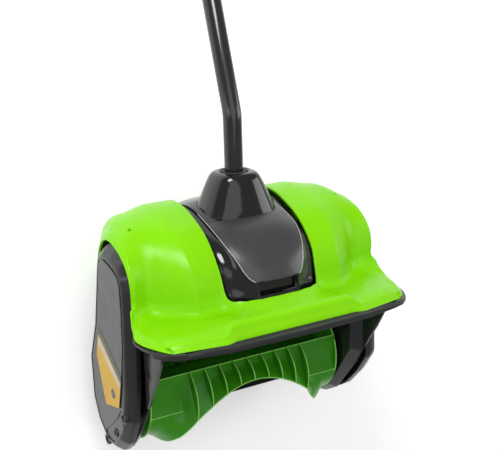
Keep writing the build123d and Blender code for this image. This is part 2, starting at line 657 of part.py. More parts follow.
def knob(x0, y, s, lobes=6):
    """Lobed hand knob on a stud along X, its inner face at x0."""
    body = rod(x0, x0 + 16, y, s, 15)
    for step in range(lobes):
        angle = math.radians(step * 360 / lobes)
        body -= rod(x0 - 1, x0 + 17, y + 18.5 * math.cos(angle), s + 18.5 * math.sin(angle), 6)
    return body + rod(x0 + 16, x0 + 18, y, s, 8)


def coupler_knob():
    s = COUPLER_S + 40
    return on_leg(knob(9.5, COUPLER_KNOB_Y, s) + rod(-12, 9.6, COUPLER_KNOB_Y, s, 3.0))


def assist_clamp():
    ring = post(0, 0, ASSIST_S - 18, ASSIST_S + 18, 19)
    ring += block(-14, 14, -36, -10, ASSIST_S - 11, ASSIST_S + 11)
    ring -= post(0, 0, ASSIST_S - 20, ASSIST_S + 20, TUBE_R + 0.05)
    ring -= block(-1.5, 1.5, -40, -10, ASSIST_S - 20, ASSIST_S + 20)
    ring -= rod(-20, 20, -26, ASSIST_S, 3.1)
    return on_leg(ring)


def assist_handle():
    left = [(-19.5, -51, ASSIST_S + 3), (-66, -72, ASSIST_S + 10), (-66, -128, ASSIST_S + 32)]
    right = [(-x, y, s) for x, y, s in reversed(left)]
    path = FilletPolyline(*(left + right), radius=18)
    loop = sweep(Plane(origin=path @ 0, z_dir=path % 0) * Circle(8), path=path)
    for side in (-1, 1):
        low, high = sorted((side * 14.4, side * 25.4))
        lug = rod(low, high, -26, ASSIST_S, 11)
        lug += block(low, high, -56, -26, ASSIST_S - 8, ASSIST_S + 13)
        loop += lug - rod(-30, 30, -26, ASSIST_S, 3.06)
    return on_leg(loop)


def assist_grip():
    y = -128
    s = ASSIST_S + 32
    sleeve = rod(-44, 44, y, s, 13)
    sleeve = fillet(sleeve.edges(), 2.5)
    return on_leg(sleeve - rod(-50, 50, y, s, 8.02))


def assist_bolt():
    return on_leg(rod(-30, 27, -26, ASSIST_S, 3.0) + rod(-30, -25.6, -26, ASSIST_S, 6))


def assist_knob():
    return on_leg(knob(26, -26, ASSIST_S) - rod(20, 40, -26, ASSIST_S, 3.05))


# ---------------------------------------------------------------- rear handle
def handle_half(side):
    outer = outline(HANDLE, 5) - outline(FINGER_GAP, 5)
    shell = slab(outer, 0.05, HANDLE_HALF_X)
    rim = shell.faces().sort_by(Axis.X)[-1].edges()
    shell = fillet(rim, 4.0)
    hollow = slab(outline(inset(HANDLE, (24, 640), 3.2), 4), -1, HANDLE_HALF_X - 2.6)
    grown = extrude(Plane.YZ.offset(-2) * offset(outline(FINGER_GAP, 5), 2.8), HANDLE_HALF_X)
    shell -= hollow - grown
    bore = post(0, 0, GRIP_START_S - 5, UPPER_END_S + 1, TUBE_R + 0.05)
    shell -= bore
    ring = post(0, 0, GRIP_START_S + 2, UPPER_END_S, 16) - bore
    shell += ring & block(0.05, HANDLE_HALF_X - 1, -18.5, 18.5, GRIP_START_S, UPPER_END_S)
    shell -= block(-1, 6.9, 8, 30, 594, 652)
    shell -= block(-1, 5.4, -30, -10, 596, 613)
    if side < 0:
        shell = mirror(shell, Plane.YZ)
    else:
        for y, s in HANDLE_SCREWS:
            shell -= rod(HANDLE_HALF_X - 0.9, HANDLE_HALF_X + 1, y, s, 3.4)
            shell -= rod(10, HANDLE_HALF_X, y, s, 1.65)
    return on_leg(shell)


def handle_screws():
    pieces = []
    for y, s in HANDLE_SCREWS:
        pieces.append(Pos(HANDLE_HALF_X - 0.9, y, s) * Rot(0, 90, 0) * screw(1.6, 3.2, 1.6))
    return on_leg(Compound(pieces))


def trigger():
    side = [(6, 596), (14, 596), (26, 612), (30, 640), (24, 648), (12, 646), (4, 640), (2, 604)]
    lever = slab(outline(side, 2), -6.4, 6.4)
    return on_leg(lever - rod(-8, 8, 9.5, 602, 2.05))


def trigger_pivot():
    return on_leg(rod(-14, 14, 9.5, 602, 2.0))


def coil(radius, wire, pitch, height):
    path = Helix(pitch=pitch, height=height, radius=radius)
    section = Plane(origin=path @ 0, z_dir=path % 0) * Circle(wire)
    return sweep(section, path=path, is_frenet=True)


def trigger_spring():
    spring = Pos(7.2, 9.5, 602) * Rot(0, 90, 0) * coil(3.4, 0.5, 1.3, 5.2)
    return on_leg(spring)


def trigger_switch():
    body = block(-6, 6, -16, -6, 618, 650)
    return on_leg(body + block(-2, 2, -6, -3.6, 640, 646))


def lock_off_button():
    button = block(-5, 5, -26, -15, 596.4, 612.6)
    return on_leg(fillet(button.edges().filter_by(Axis.X), 1.5))


def battery_dock():
    plate = block(-30, 30, -38, 54, DOCK_S, DOCK_S + 6)
    plate += block(-14, 14, -34, 50, DOCK_S + 6, DOCK_S + 11)
    plate += block(-20, 20, -34, 50, DOCK_S + 11, DOCK_S + 15)
    for x in (-8, 0, 8):
        plate -= block(x - 0.6, x + 0.6, -30, -14, DOCK_S - 1, DOCK_S + 20)
    return on_leg(plate)


def dock_terminals():
    pieces = [block(x - 0.5, x + 0.5, -29, -15, DOCK_S + 1, DOCK_S + 22) for x in (-8, 0, 8)]
    return on_leg(Compound(pieces))


def battery_case():
    body = block(-36, 36, -48, 57, BATTERY_S, BATTERY_END_S)
    body = fillet(body.edges(), 5)
    body -= block(-33.5, 33.5, -36.8, 54.5, BATTERY_S + 20.5, BATTERY_END_S - 2.5)
    body -= block(-14.4, 14.4, -35, 60, BATTERY_S - 1, BATTERY_S + 8)
    body -= block(-20.4, 20.4, -35, 60, BATTERY_S + 4.2, BATTERY_S + 9)
    body -= block(-10, 10, -35, 60, BATTERY_S + 8, BATTERY_S + 17)
    body -= block(-13.3, 13.3, -50, -39.5, 771.7, 792.3)
    return on_leg(body)


def battery_cells():
    pieces = []
    for column in range(4):
        for row in range(2):
            pieces.append(rod(-32.5, 32.5, -26 + column * 22, BATTERY_S + 30.5 + row * 18.8, 9.2))
    return on_leg(Compound(pieces))


def battery_latch():
    button = block(-13, 13, -52, -44, 772, 792)
    return on_leg(fillet(button.faces().sort_by(Axis.Y)[0].edges(), 2))


def power_cable():
    route = [(62, TUBE_Y, CABLE_Z), (0, TUBE_Y, CABLE_Z), (0, TUBE_Y, BEND_Z), leg_point(588)]
    path = FilletPolyline(*route, radius=[16, BEND_R])
    section = Plane(origin=path @ 0, z_dir=path % 0) * Circle(CABLE_R)
    return sweep(section, path=path)


# ---------------------------------------------------------------- the whole tool
NODES = {
    "top_cover": top_cover, "top_cover_screws": top_cover_screws, "motor_cover": motor_cover,
    "tube_seal": tube_seal, "lower_housing": lower_housing, "rear_cover": rear_cover,
    "side_plate_left": side_plate_left, "side_plate_right": side_plate_right,
    "belt_cover": belt_cover, "side_cover_right": side_cover_right, "side_panel": side_panel,
    "label_plate": label_plate, "side_screws_left": lambda: side_screws(-1),
    "side_screws_right": lambda: side_screws(1), "scraper_blade": scraper_blade,
    "scraper_screws": scraper_screws,
    "rotor": rotor, "rotor_axle": rotor_axle, "rotor_bearing_left": lambda: rotor_bearing(-1),
    "rotor_bearing_right": lambda: rotor_bearing(1), "axle_nut": axle_nut,
    "rotor_pulley": rotor_pulley, "motor_pulley": motor_pulley, "drive_belt": drive_belt,
    "motor_can": motor_can, "motor_armature": motor_armature, "motor_shaft": motor_shaft,
    "motor_fan": motor_fan, "motor_mount": motor_mount, "control_board": control_board,
    "tube_socket": tube_socket, "socket_bolts": socket_bolts, "lower_tube": lower_tube,
    "upper_tube": upper_tube, "tube_coupler": tube_coupler, "coupler_knob": coupler_knob,
    "assist_clamp": assist_clamp, "assist_handle": assist_handle, "assist_grip": assist_grip,
    "assist_bolt": assist_bolt, "assist_knob": assist_knob,
    "rear_handle_left": lambda: handle_half(-1), "rear_handle_right": lambda: handle_half(1),
    "handle_screws": handle_screws, "trigger": trigger, "trigger_pivot": trigger_pivot,
    "trigger_spring": trigger_spring, "trigger_switch": trigger_switch,
    "lock_off_button": lock_off_button, "battery_dock": battery_dock,
    "dock_terminals": dock_terminals, "battery_case": battery_case,
    "battery_cells": battery_cells, "battery_latch": battery_latch, "power_cable": power_cable,
}


def rest_shift(shapes):
    """Shift that puts the middle of the bottom of the laid down tool at the origin."""
    laid = [Rot(-REST_TILT, 0, 0) * shape for shape in shapes]
    boxes = [shape.bounding_box() for shape in laid]
    middle = (min(box.min.Y for box in boxes) + max(box.max.Y for box in boxes)) / 2
    return Pos(0, -middle, -min(box.min.Z for box in boxes))


def main():
    os.makedirs("parts", exist_ok=True)
    shapes = {name: make() for name, make in NODES.items()}
    place = rest_shift(shapes.values()) * Rot(-REST_TILT, 0, 0)
    for name, shape in shapes.items():
        export_step(place * shape, f"parts/{name}.step")


if __name__ == "__main__":
    main()
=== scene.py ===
import json
import math

import bmesh
import bpy
import numpy as np
from mathutils import Matrix, Vector


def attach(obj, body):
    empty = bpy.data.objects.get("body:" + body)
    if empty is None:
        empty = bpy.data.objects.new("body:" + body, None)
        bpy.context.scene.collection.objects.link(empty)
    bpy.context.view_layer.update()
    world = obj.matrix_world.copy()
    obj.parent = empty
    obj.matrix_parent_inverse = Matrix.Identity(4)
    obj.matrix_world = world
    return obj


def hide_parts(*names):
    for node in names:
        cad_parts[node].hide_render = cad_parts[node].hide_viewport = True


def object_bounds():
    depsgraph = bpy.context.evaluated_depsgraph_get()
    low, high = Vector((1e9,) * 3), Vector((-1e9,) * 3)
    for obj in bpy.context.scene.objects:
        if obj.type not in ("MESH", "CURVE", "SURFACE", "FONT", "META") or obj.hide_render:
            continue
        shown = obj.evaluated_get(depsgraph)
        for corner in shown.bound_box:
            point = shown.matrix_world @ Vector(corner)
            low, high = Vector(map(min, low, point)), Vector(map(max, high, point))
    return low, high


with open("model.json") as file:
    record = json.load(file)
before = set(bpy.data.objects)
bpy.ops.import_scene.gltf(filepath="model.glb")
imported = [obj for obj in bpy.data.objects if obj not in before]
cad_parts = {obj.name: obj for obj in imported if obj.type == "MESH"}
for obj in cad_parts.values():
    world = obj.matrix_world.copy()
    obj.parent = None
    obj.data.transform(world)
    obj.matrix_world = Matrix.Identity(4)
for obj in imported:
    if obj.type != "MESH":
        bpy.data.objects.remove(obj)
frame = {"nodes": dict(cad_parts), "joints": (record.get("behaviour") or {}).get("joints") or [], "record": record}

cad_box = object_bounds()

# ------------------------------------------------------------------ frame
# Head pieces are drawn in the head frame, in millimetres: origin on the rotor axis, X to the
# right along it, Y to the back, Z up along the lower tube. The row lays the tool on its back.
REST_TILT = 82.0
TUBE_Y = -46.0


def joint_place(name):
    found = [j for j in frame["joints"] if j["name"] == name][0]
    return Vector(found["pos_m"])


HEAD = (Matrix.Translation(joint_place("rotor_spin"))
        @ Matrix.Rotation(math.radians(-REST_TILT), 4, "X") @ Matrix.Scale(0.001, 4))


# ------------------------------------------------------------------ mesh helpers
def refine(net, steps):
    """Smooth curve through the points of a net's first axis, with chord length tangents."""
    net = np.asarray(net, float)
    net = np.concatenate([2 * net[:1] - net[1:2], net, 2 * net[-1:] - net[-2:-1]])
    span = net[1:] - net[:-1]
    chord = np.sqrt((span ** 2).sum(-1, keepdims=True)) + 1e-6
    slope = span / chord
    tangent = (slope[1:] * chord[:-1] + slope[:-1] * chord[1:]) / (chord[1:] + chord[:-1])
    rows = []
    count = len(net) - 3
    for i in range(count):
        a, b = net[i + 1], net[i + 2]
        ta, tb = tangent[i] * chord[i + 1], tangent[i + 1] * chord[i + 1]
        for k in range(steps):
            t = k / steps
            h = (2 * t ** 3 - 3 * t ** 2 + 1, t ** 3 - 2 * t ** 2 + t,
                 -2 * t ** 3 + 3 * t ** 2, t ** 3 - t ** 2)
            rows.append(h[0] * a + h[1] * ta + h[2] * b + h[3] * tb)
    rows.append(net[-2])
    return np.array(rows)


def mesh_piece(name, points, faces, space=HEAD):
    """New object from points in a given space and faces."""
    mesh = bpy.data.meshes.new(name)
    mesh.from_pydata([tuple(space @ Vector(p)) for p in points], [], faces)
    mesh.validate()
    mesh.update()
    obj = bpy.data.objects.new(name, mesh)
    bpy.context.scene.collection.objects.link(obj)
    for polygon in mesh.polygons:
        polygon.use_smooth = True
    return obj


def grid_faces(rows, columns, closed=False):
    """Four-sided faces over a grid of points, closed round each row or open."""
    faces = []
    last = columns if closed else columns - 1
    for i in range(rows - 1):
        for j in range(last):
            k = (j + 1) % columns
            faces.append((i * columns + j, i * columns + k, (i + 1) * columns + k, (i + 1) * columns + j))
    return faces


def clean(obj, distance=0.00002):
    """Weld doubles and turn all faces outwards."""
    work = bmesh.new()
    work.from_mesh(obj.data)
    bmesh.ops.remove_doubles(work, verts=work.verts, dist=distance)
    bmesh.ops.recalc_face_normals(work, faces=work.faces)
    work.to_mesh(obj.data)
    work.free()
    return obj


def modifier(obj, kind, **settings):
    item = obj.modifiers.new(kind.lower(), kind)
    for key, value in settings.items():
        setattr(item, key, value)
    return item


def soft_edges(obj, width=0.0006, angle=32, segments=2):
    """Bevel every edge that is sharper than an angle."""
    modifier(obj, "BEVEL", width=width, segments=segments, limit_method="ANGLE",
             angle_limit=math.radians(angle), harden_normals=True, use_clamp_overlap=True)
    for polygon in obj.data.polygons:
        polygon.use_smooth = True
    return obj


def apply_modifiers(obj):
    graph = bpy.context.evaluated_depsgraph_get()
    graph.update()
    mesh = bpy.data.meshes.new_from_object(obj.evaluated_get(graph))
    obj.modifiers.clear()
    obj.data = mesh
    return obj


def cut(obj, cutters):
    """Take the cutters out of an object, and remove them."""
    for cutter in cutters:
        modifier(obj, "BOOLEAN", operation="DIFFERENCE", object=cutter, solver="EXACT")
    apply_modifiers(obj)
    for cutter in cutters:
        bpy.data.objects.remove(cutter)
    return obj


CORNER_SHARE = 0.49     # a round corner takes at most this much of each side


def rounded(points, radius, steps=6):
    """Closed 2D outline with round corners."""
    result = []
    count = len(points)
    radii = radius if isinstance(radius, (list, tuple)) else [radius] * count
    for i in range(count):
        before, here, after = Vector(points[i - 1]), Vector(points[i]), Vector(points[(i + 1) % count])
        to_a, to_b = (before - here).normalized(), (after - here).normalized()
        half = to_a.angle(to_b, math.pi) / 2
        if radii[i] < 0.01:
            result.append(tuple(here))
            continue
        reach = min(radii[i] / math.tan(half), (before - here).length * CORNER_SHARE,
                    (after - here).length * CORNER_SHARE)
        start, end = here + to_a * reach, here + to_b * reach
        for k in range(steps + 1):
            t = k / steps
            point = start * (1 - t) ** 2 + here * (2 * t * (1 - t)) + end * t ** 2
            result.append(tuple(point))
    return result


def prism(name, outline, low, high, axis="Z", space=HEAD):
    """Solid from a 2D outline, between two levels of an axis."""
    place = {"Z": lambda a, b, h: (a, b, h), "X": lambda a, b, h: (h, a, b),
             "Y": lambda a, b, h: (a, h, b)}[axis]
    count = len(outline)
    points = [place(a, b, low) for a, b in outline] + [place(a, b, high) for a, b in outline]
    faces = [tuple(range(count)), tuple(range(count, 2 * count))]
    faces += [(i, (i + 1) % count, count + (i + 1) % count, count + i) for i in range(count)]
    return clean(mesh_piece(name, points, faces, space))


def rings(name, levels, cap_start=True, cap_end=True, space=HEAD):
    """Skin over rings of points, one level after another, with or without end faces."""
    levels = np.asarray(levels, float)
    count = levels.shape[1]
    points = [tuple(p) for ring in levels for p in ring]
    faces = grid_faces(len(levels), count, closed=True)
    if cap_start:
        faces.append(tuple(range(count)))
    if cap_end:
        faces.append(tuple(range((len(levels) - 1) * count, len(levels) * count)))
    return clean(mesh_piece(name, points, faces, space))


def circle_ring(centre, radius, axis, steps=48):
    """Ring of points round X or Z."""
    ring = []
    for k in range(steps):
        a = 2 * math.pi * k / steps
        c, s = radius * math.cos(a), radius * math.sin(a)
        ring.append((centre[0], centre[1] + c, centre[2] + s) if axis == "X" else
                    (centre[0] + c, centre[1] + s, centre[2]))
    return ring


# ------------------------------------------------------------------ materials
def new_material(name, colour, roughness, **sockets):
    material = bpy.data.materials.new(name)
    material.use_nodes = True
    shader = material.node_tree.nodes["Principled BSDF"]
    shader.inputs["Base Color"].default_value = (*colour, 1)
    shader.inputs["Roughness"].default_value = roughness
    for key, value in sockets.items():
        shader.inputs[key.replace("_", " ")].default_value = value
    return material, material.node_tree, shader


def noise(tree, scale, detail=3.0, rough=0.5, stretch=None):
    coords = tree.nodes.new("ShaderNodeTexCoord")
    node = tree.nodes.new("ShaderNodeTexNoise")
    node.inputs["Scale"].default_value = scale
    node.inputs["Detail"].default_value = detail
    node.inputs["Roughness"].default_value = rough
    if stretch:
        mapping = tree.nodes.new("ShaderNodeMapping")
        mapping.inputs["Scale"].default_value = stretch
        tree.links.new(coords.outputs["Object"], mapping.inputs["Vector"])
        tree.links.new(mapping.outputs["Vector"], node.inputs["Vector"])
    else:
        tree.links.new(coords.outputs["Object"], node.inputs["Vector"])
    return node


NOISE_LOW, NOISE_HIGH = 0.3, 0.7    # the part of a noise's range that is used


def spread(tree, source, low, high):
    """Map a noise onto a range."""
    node = tree.nodes.new("ShaderNodeMapRange")
    node.inputs["From Min"].default_value = NOISE_LOW
    node.inputs["From Max"].default_value = NOISE_HIGH
    node.inputs["To Min"].default_value = low
    node.inputs["To Max"].default_value = high
    tree.links.new(source, node.inputs["Value"])
    return node.outputs["Result"]


def bump(tree, shader, source, strength, distance):
    node = tree.nodes.new("ShaderNodeBump")
    node.inputs["Strength"].default_value = strength
    node.inputs["Distance"].default_value = distance
    tree.links.new(source, node.inputs["Height"])
    tree.links.new(node.outputs["Normal"], shader.inputs["Normal"])


def shade(colour, factor):
    return tuple(min(1.0, c * factor) for c in colour)


FLOW_SCALE, SCUFF_SCALE, LINES_SCALE = 9.0, 60.0, 120.0
GRAIN_DEPTH, LINES_DEPTH = 0.0002, 0.0001


def vary_colour(tree, shader, source, dark, light):
    """Colour that follows a noise, from dark to light."""
    node = tree.nodes.new("ShaderNodeValToRGB")
    stops = ((NOISE_LOW, dark), (NOISE_HIGH, light))
    for element, (position, colour) in zip(node.color_ramp.elements, stops):
        element.position = position
        element.color = (*colour, 1)
    tree.links.new(source, node.inputs["Fac"])
    tree.links.new(node.outputs["Color"], shader.inputs["Base Color"])


def vary_roughness(tree, shader, source, low, high):
    tree.links.new(spread(tree, source, low, high), shader.inputs["Roughness"])


def plastic(name, colour, roughness, grain=0.0, grain_scale=900.0, variation=0.06, **sockets):
    """Moulded plastic: faint flow marks in colour and gloss, and a fine moulded grain."""
    material, tree, shader = new_material(name, colour, roughness, **sockets)
    flow = noise(tree, FLOW_SCALE, 4.0)
    vary_colour(tree, shader, flow.outputs["Fac"],
                shade(colour, 1 - variation), shade(colour, 1 + variation))
    scuff = noise(tree, SCUFF_SCALE, 6.0, 0.65)
    vary_roughness(tree, shader, scuff.outputs["Fac"], roughness * 0.85, roughness * 1.2)
    if grain:
        fine = noise(tree, grain_scale, 2.0)
        bump(tree, shader, fine.outputs["Fac"], grain, GRAIN_DEPTH)
    return material


def metal(name, colour, roughness, brushed=None, variation=0.08):
    """Metal with fine machining or drawing lines."""
    material, tree, shader = new_material(name, colour, roughness, Metallic=1.0)
    lines = noise(tree, LINES_SCALE, 4.0, 0.6, brushed or (1, 1, 1))
    vary_colour(tree, shader, lines.outputs["Fac"],
                shade(colour, 1 - variation), shade(colour, 1 + variation))
    vary_roughness(tree, shader, lines.outputs["Fac"], roughness * 0.75, roughness * 1.35)
    bump(tree, shader, lines.outputs["Fac"], 0.15, LINES_DEPTH)
    return material


LIME = (0.2, 0.6, 0.0005)


def sheen(level):
    """Socket setting for a surface that reflects less than plain plastic."""
    return {"Specular IOR Level": level}


MATERIALS = {
    "green_shell": lambda n: plastic(n, LIME, 0.28, 0.06, 700, 0.05, **sheen(0.17)),
    "gloss_black": lambda n: plastic(n, (0.006, 0.006, 0.0065), 0.11, 0.0, variation=0.1),
    "satin_black": lambda n: plastic(n, (0.012, 0.012, 0.0125), 0.4, 0.35, 1100, 0.1),
    "side_black": lambda n: plastic(n, (0.014, 0.014, 0.015), 0.26, 0.08, 900, 0.1),
    "panel_grey": lambda n: plastic(n, (0.035, 0.035, 0.037), 0.32, 0.1, 1200, 0.06),
    "label_yellow": lambda n: plastic(n, (0.62, 0.36, 0.008), 0.35, 0.0, variation=0.05, **sheen(0.2)),
    "rotor_green": lambda n: plastic(n, (0.04, 0.29, 0.005), 0.3, 0.05, 800, 0.14, **sheen(0.3)),
    "tube_black": lambda n: plastic(n, (0.012, 0.012, 0.013), 0.16, 0.05, 500, 0.12),
    "seal_rubber": lambda n: plastic(n, (0.02, 0.02, 0.02), 0.6, 0.2, 900, 0.1),
    "grip_rubber": lambda n: plastic(n, (0.025, 0.025, 0.026), 0.7, 0.5, 700, 0.12),
    "steel": lambda n: metal(n, (0.5, 0.5, 0.51), 0.25, (1, 8, 8)),
    "zinc": lambda n: metal(n, (0.55, 0.55, 0.53), 0.35),
    "alloy": lambda n: metal(n, (0.6, 0.6, 0.62), 0.4),
    "copper_board": lambda n: plastic(n, (0.01, 0.12, 0.04), 0.3, 0.1, 600, 0.2),
    "brass": lambda n: metal(n, (0.7, 0.5, 0.2), 0.25),
    "cell_wrap": lambda n: plastic(n, (0.05, 0.2, 0.4), 0.3, 0.0, variation=0.05),
    "belt_rubber": lambda n: plastic(n, (0.015, 0.015, 0.015), 0.75, 0.4, 600, 0.1),
    "cable_black": lambda n: plastic(n, (0.018, 0.018, 0.018), 0.5, 0.1, 800, 0.1),
    "cover_panel": lambda n: plastic(n, (0.034, 0.034, 0.036), 0.32, 0.05, 1400, 0.1),
    # light grey for the tubes along the motor cover panel's edges: a painted highlight line
    "painted_highlight_rim": lambda n: plastic(n, (0.42, 0.42, 0.43), 0.18, 0.0, variation=0.2),
    # lighter green for the tubes along the rotor's edges: painted highlight on the ribs, sheets and discs
    "rotor_painted_highlight": lambda n: plastic(n, (0.27, 0.72, 0.12), 0.28, 0.0, variation=0.05),
    "label_band": lambda n: plastic(n, (0.5, 0.45, 0.36), 0.35, 0.0, variation=0.03),
}
materials = {name: make(name) for name, make in MATERIALS.items()}
node_slot = {item["node"]: item["material_slot"] for item in frame["record"]["subparts"]}


def dress(obj, look, body="frame", replaces=()):
    """Give a piece its material and body, and hide the CAD nodes that it stands for."""
    obj.data.materials.clear()
    obj.data.materials.append(materials[look])
    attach(obj, body)
    if replaces:
        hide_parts(*replaces)
    return obj


def dress_nodes():
    """Every CAD node that stays in view gets its material and softened edges."""
    for name, obj in frame["nodes"].items():
        obj.data.materials.clear()
        obj.data.materials.append(materials[node_slot[name]])
        for polygon in obj.data.polygons:
            polygon.use_smooth = True
        modifier(obj, "WELD", merge_threshold=0.00001)
        soft_edges(obj, 0.0005, 28)


# ------------------------------------------------------------------ top cover
TOP_WALL, MOTOR_WALL, COLLAR_WALL = 0.0026, 0.0024, 0.0022      # metres
TOP_HOLE_X, TOP_HOLE_Y, TOP_HOLE_R = 156.4, -54, 2.3
HUMP_ROWS = {
    108: [(74, 150), (71, 182), (60, 214), (38, 241), (8, 255), (-26, 256), (-62, 246), (-90, 233),
          (-112, 215), (-127, 195), (-134.5, 174), (-137.5, 157), (-141, 147.5), (-149, 144)],
    155: [(62, 150), (60, 182), (50, 212), (30, 234), (0, 246), (-28, 248.5), (-55, 243),
          (-77, 228), (-91, 209), (-98, 189), (-101, 169), (-103, 154), (-109, 146),
          (-119, 142.5)],
    181: [(12, 150), (5, 178), (-4, 202), (-14, 219), (-28, 229), (-44, 231.5), (-64, 228),
          (-84, 220.5), (-98, 209.5), (-107, 196), (-110, 178), (-110, 164), (-113, 152),
          (-119, 145)],
}
# In front of the window the shell rises to the window's edge: rows 10 to 15 there.
FRONT_ROWS = {
    0: [(-148, 172), (-155, 163), (-159.5, 157.4), (-164, 155), (-169, 152.6), (-177, 149.8)],
    27: [(-148, 172), (-155, 163), (-159.5, 157.4), (-164, 155), (-169, 152.6), (-177, 149.8)],
    45: [(-143, 175), (-149, 164.5), (-154, 158.5), (-160, 154.5), (-167, 151.4), (-176, 149)],
    60: [(-138, 176), (-143.5, 164.5), (-148, 157.5), (-154, 151.5), (-162, 149), (-174, 148)],
    70: [(-134.5, 174), (-138, 161), (-142, 150.5), (-149, 145.6), (-159, 145), (-173, 146.2)],
}
LIP_ROWS = {
    0: [(-158, 144.6), (-172, 146), (-187, 147.4), (-190.5, 146.4), (-196, 137), (-200, 129),
        (-200.3, 127.4)],
    84.5: [(-158, 144.6), (-172, 146), (-187, 147.4), (-190.5, 146.4), (-196, 137), (-200, 129),
           (-200.3, 127.4)],
    101: [(-158, 143.8), (-172, 142), (-195, 136.4), (-198.2, 135), (-201, 131.4), (-203.8, 128.4),
          (-204.2, 127.4)],
    155: [(-128, 142), (-150, 139.7), (-184, 136), (-188.2, 134.4), (-191, 131.2), (-194.5, 128.4),
          (-195, 127.4)],
    170: [(-128, 141), (-150, 138.6), (-178, 134.6), (-182.5, 133.2), (-186, 130.8),
          (-189.5, 128.4), (-190.3, 127.4)],
}
SIDE_TOP = [(181, -112.5, 152), (182.8, -118, 145.5), (185.6, -126, 139.6), (187, -138, 136),
            (184, -153, 135.3), (177.5, -169, 134.8), (171.5, -180, 133.4), (168.5, -186, 131),
            (166, -190.5, 128)]
SIDE_EDGE = [(183.4, -113.5, 156), (185.5, -118, 148.5), (189.4, -126.8, 138.5),
             (192.3, -138, 131.5), (190, -152, 129.6), (183.2, -170, 129.3), (175.5, -184, 128.8),
             (170.5, -189, 127.9), (166.5, -191.3, 127.4)]
COVER_COLUMNS = [0, 27, 45, 60, 70, 82.5, 85, 100.5, 103, 107, 111, 132, 152.5, 157.5, 168]


def between(table, x, row):
    """A row's (Y, Z) at a station, from the stations on both sides."""
    keys = sorted(table)
    return [float(np.interp(x, keys, [table[k][row][axis] for k in keys])) for axis in (0, 1)]


def cover_net():
    columns = []
    for x in COVER_COLUMNS:
        rows = [(x, *between(HUMP_ROWS, x, r)) for r in range(14)]
        rows += [(x, *between(LIP_ROWS, x, r)) for r in range(7)]
        if x <= 70:
            rows[10:16] = [(x, *between(FRONT_ROWS, x, r)) for r in range(6)]
        columns.append(rows)
    hump_side = [(178.5, *between(HUMP_ROWS, 178, r)) for r in range(12)]
    hump_edge = [(181.5, y + (3 if r > 6 else 1.5), z - 2.0)
                 for r, (y, z) in enumerate(HUMP_ROWS[181][:12])]
    columns.append(hump_side + SIDE_TOP)
    columns.append(hump_edge + SIDE_EDGE)
    right = np.array(columns)
    left = right[:0:-1] * np.array([-1, 1, 1])
    return np.concatenate([left, right])


def top_cover():
    net = refine(cover_net(), 5)
    net = np.swapaxes(refine(np.swapaxes(net, 0, 1), 6), 0, 1)
    columns, rows = net.shape[:2]
    obj = clean(mesh_piece("top_cover_skin", net.reshape(-1, 3), grid_faces(columns, rows)))
    modifier(obj, "SOLIDIFY", thickness=TOP_WALL, offset=-1, use_even_offset=False)
    apply_modifiers(obj)
    half = [(70.3, 90), (70.3, -124), (68, -138), (61, -149), (47, -156.5), (27.5, -161)]
    outline = half + [(-x, y) for x, y in half[::-1]]
    radii = [0, 12, 14, 14, 12, 5] + [5, 12, 14, 14, 12, 0]
    cutters = [prism("window", rounded(outline, radii), 139, 300)]
    for side in (-1, 1):
        ends = [circle_ring((side * TOP_HOLE_X, TOP_HOLE_Y, z), TOP_HOLE_R, "Z", 24) for z in (200, 270)]
        cutters.append(rings("hole", ends))
    cut(obj, cutters)
    return dress(soft_edges(obj, 0.0006, 40), "green_shell", replaces=["top_cover"])


def beads(name, lines, radius, space):
    """Rounded rims: thin tubes along lines."""
    curve = bpy.data.curves.new(name, "CURVE")
    curve.dimensions = "3D"
    curve.bevel_depth = radius * 0.001
    curve.bevel_resolution = 2
    curve.use_fill_caps = True
    for line in lines:
        spline = curve.splines.new("POLY")
        spline.points.add(len(line) - 1)
        for point, place in zip(spline.points, line):
            point.co = (*(space @ Vector(place)), 1)
    holder = bpy.data.objects.new(name, curve)
    bpy.context.scene.collection.objects.link(holder)
    bpy.context.view_layer.update()
    mesh = bpy.data.meshes.new_from_object(holder.evaluated_get(bpy.context.evaluated_depsgraph_get()))
    bpy.data.objects.remove(holder)
    obj = bpy.data.objects.new(name, mesh)
    bpy.context.scene.collection.objects.link(obj)
    for polygon in mesh.polygons:
        polygon.use_smooth = True
    return obj


# ------------------------------------------------------------------ motor cover
# Rows from the rear over the top to the foot: centre (Y, Z), panel edge (X, Y, Z), wall foot (X, Y, Z).
MOTOR_ROWS = [
    ((40, 226), (55, 40, 222), (68, 42, 205)),
    ((34, 243), (56, 32, 238), (68.2, 30, 226)),
    ((8, 252), (57, 6, 247), (68.4, 8, 243)),
    ((-24, 254.5), (57.5, -24, 250), (68.6, -24, 248.5)),
    ((-52, 252), (57.8, -50, 246.5), (68.6, -46, 243.5)),
    ((-84, 244), (58, -78, 238.5), (68.6, -70, 235)),
    ((-112, 232.5), (57.5, -105, 228.5), (68.6, -93, 224.5)),
    ((-131, 218), (53.5, -124, 216), (68.4, -110, 213)),
    ((-144.5, 203), (48, -137.5, 202), (68.2, -120, 202)),
    ((-152, 190), (42.5, -145.5, 189), (67.6, -127.5, 188)),
    ((-155.5, 180.5), (37, -151, 181), (66.5, -132, 173)),
    ((-156.3, 178), (32, -154, 177.6), (64.5, -136, 163)),
    ((-156.6, 171), (30.5, -155.3, 171), (62.5, -140, 158)),
    ((-157.3, 162), (29.8, -156.6, 163), (61, -141.5, 152)),
    ((-158.6, 158), (29.6, -158, 158), (60.5, -143.5, 149)),
    ((-162, 150), (29.5, -161.4, 150), (59, -147.5, 142)),
]
COLLAR_RINGS = [(237, 56.5, 44.5), (240, 54.5, 43), (247, 51.5, 41.5), (262, 45, 37.5),
                (277, 38.5, 33.5), (286, 34, 31), (291, 31, 29), (294.3, 27.5, 26.5),
                (295.6, 24.5, 24.2), (295.9, 21.5, 21.5), (295.2, 19.6, 19.6), (287, 19.2, 19.2)]
COLLAR_POWER = 2.7


